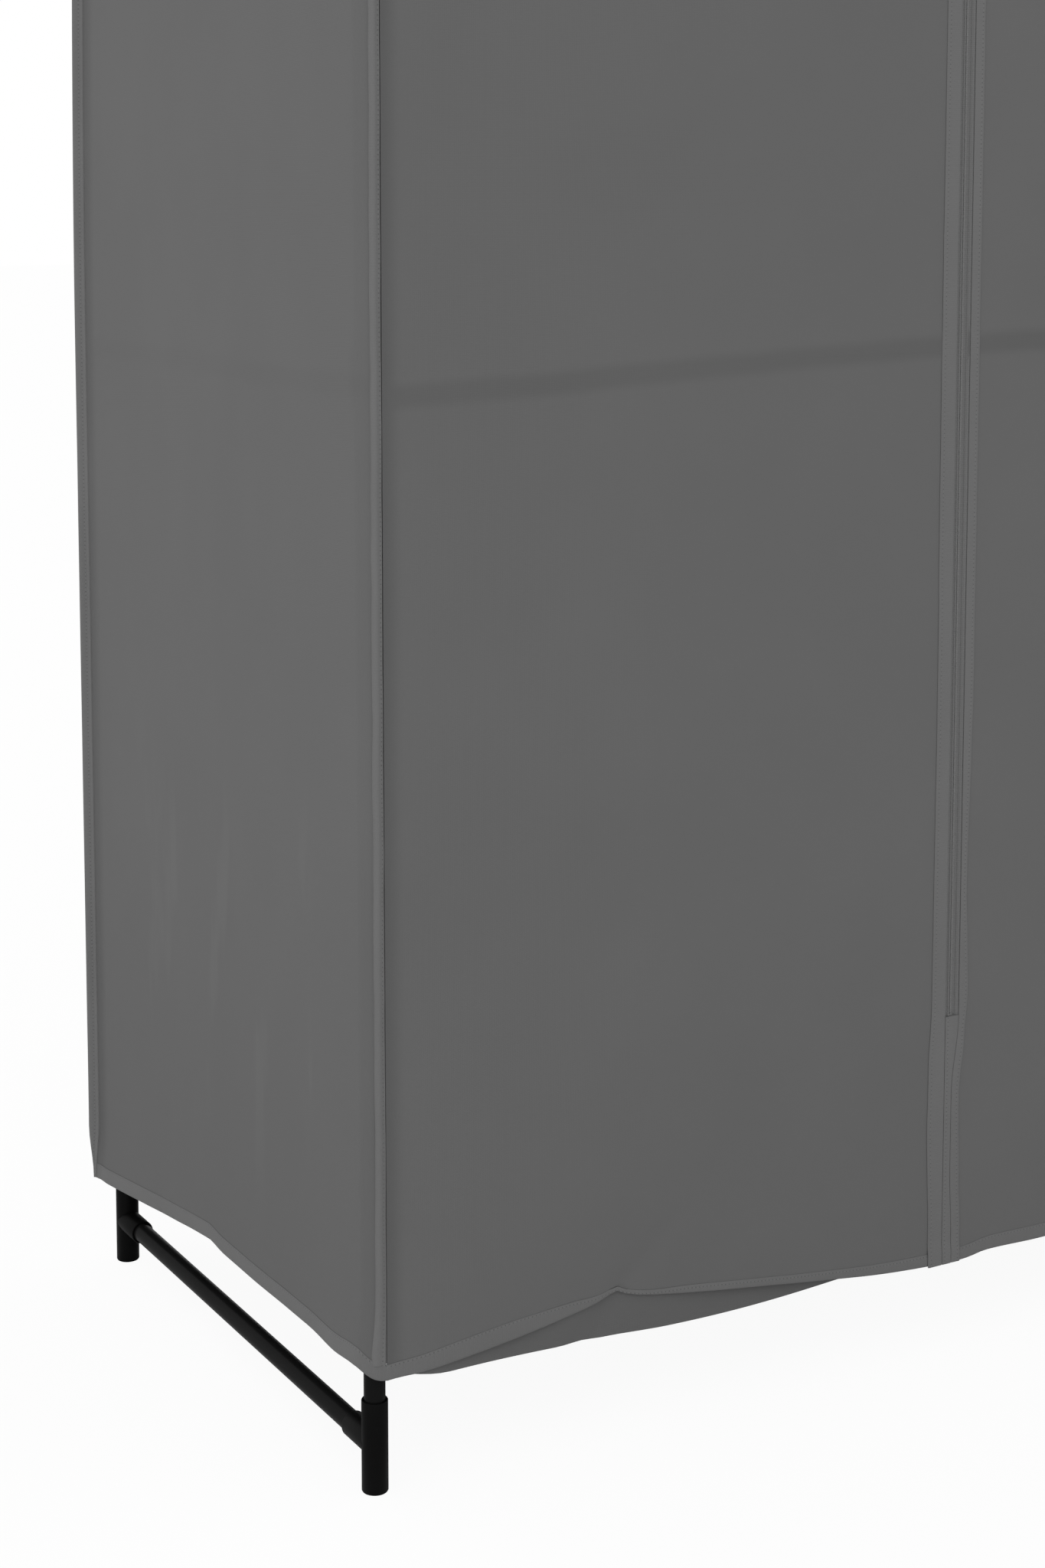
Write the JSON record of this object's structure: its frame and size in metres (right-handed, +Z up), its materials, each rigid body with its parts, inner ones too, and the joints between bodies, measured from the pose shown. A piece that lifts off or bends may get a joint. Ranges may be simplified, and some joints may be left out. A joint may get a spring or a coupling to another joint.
{
  "type": "portable fabric wardrobe",
  "caption": "Free-standing clothes wardrobe: steel tubes in moulded connectors carry a hanging rail, a cloth shelf and a loose sewn cover that opens by a zip in its front",
  "frame": {"origin": "on the floor, at the middle of the outer box", "axes": "+Z up, +X to the right of someone who faces the zip, and the zipped front looks to -Y"},
  "size_m": [1.0898, 0.5548, 1.5994],
  "materials": {
    "tube": "black powder coat, satin",
    "connector": "black moulded plastic, low sheen",
    "cover_cloth": "dark grey non-woven cloth",
    "front_cloth": "dark grey non-woven cloth, slightly darker",
    "binding": "folded grey binding tape with a line of stitches",
    "zip_tape": "grey woven tape with a nylon coil",
    "zip_metal": "dark enamelled die cast metal"
  },
  "bodies": {
    "wardrobe": {"lower_upright_front_left": "tube", "lower_upright_front_right": "tube", "lower_upright_back_left": "tube", "lower_upright_back_right": "tube", "upper_upright_front_left": "tube", "upper_upright_front_right": "tube", "upper_upright_back_left": "tube", "upper_upright_back_right": "tube", "bottom_bar_left": "tube", "bottom_bar_right": "tube", "mid_rail_front": "tube", "mid_rail_back": "tube", "mid_rail_left": "tube", "mid_rail_right": "tube", "top_rail_front": "tube", "top_rail_back": "tube", "top_rail_left": "tube", "top_rail_right": "tube", "hanging_rail": "tube", "foot_tee_front_left": "connector", "foot_tee_front_right": "connector", "foot_tee_back_left": "connector", "foot_tee_back_right": "connector", "mid_connector_front_left": "connector", "mid_connector_front_right": "connector", "mid_connector_back_left": "connector", "mid_connector_back_right": "connector", "top_corner_front_left": "connector", "top_corner_front_right": "connector", "top_corner_back_left": "connector", "top_corner_back_right": "connector", "hanging_rail_tee_left": "connector", "hanging_rail_tee_right": "connector", "side_panel_left": "cover_cloth", "side_panel_right": "cover_cloth", "back_panel": "cover_cloth", "top_panel": "cover_cloth", "mid_shelf": "cover_cloth", "front_header": "front_cloth", "front_skirt": "front_cloth", "front_inner_facing": "front_cloth", "corner_binding_front_left": "binding", "corner_binding_front_right": "binding", "corner_binding_back_left": "binding", "corner_binding_back_right": "binding", "hem_binding": "binding", "top_binding": "binding", "skirt_seam_cover": "binding", "zip_bottom_end": "zip_tape", "zip_top_end": "zip_tape"},
    "left_flap": {"front_flap_left": "front_cloth", "zip_facing_left": "binding", "zip_tape_left": "zip_tape"},
    "right_flap": {"front_flap_right": "front_cloth", "zip_facing_right": "binding", "zip_tape_right": "zip_tape"},
    "slider": {"zip_slider": "zip_metal"},
    "pull": {"zip_pull": "zip_metal"}
  },
  "joints": [
    {"name": "left_flap_turn", "type": "hinge", "parent": "wardrobe", "child": "left_flap", "pos_m": [-0.51065, -0.2699, 0.913], "axis": [0, 0, -1], "range_deg": [0, 35]},
    {"name": "right_flap_turn", "type": "hinge", "parent": "wardrobe", "child": "right_flap", "pos_m": [0.51065, -0.2699, 0.913], "axis": [0, 0, 1], "range_deg": [0, 35]},
    {"name": "slider_travel", "type": "slide", "parent": "wardrobe", "child": "slider", "axis": [0, 0, -1], "range_m": [0, 1.2744]},
    {"name": "pull_swing", "type": "hinge", "parent": "slider", "child": "pull", "pos_m": [0, -0.2747, 1.5647], "axis": [-1, 0, 0], "range_deg": [0, 160]}
  ]
}
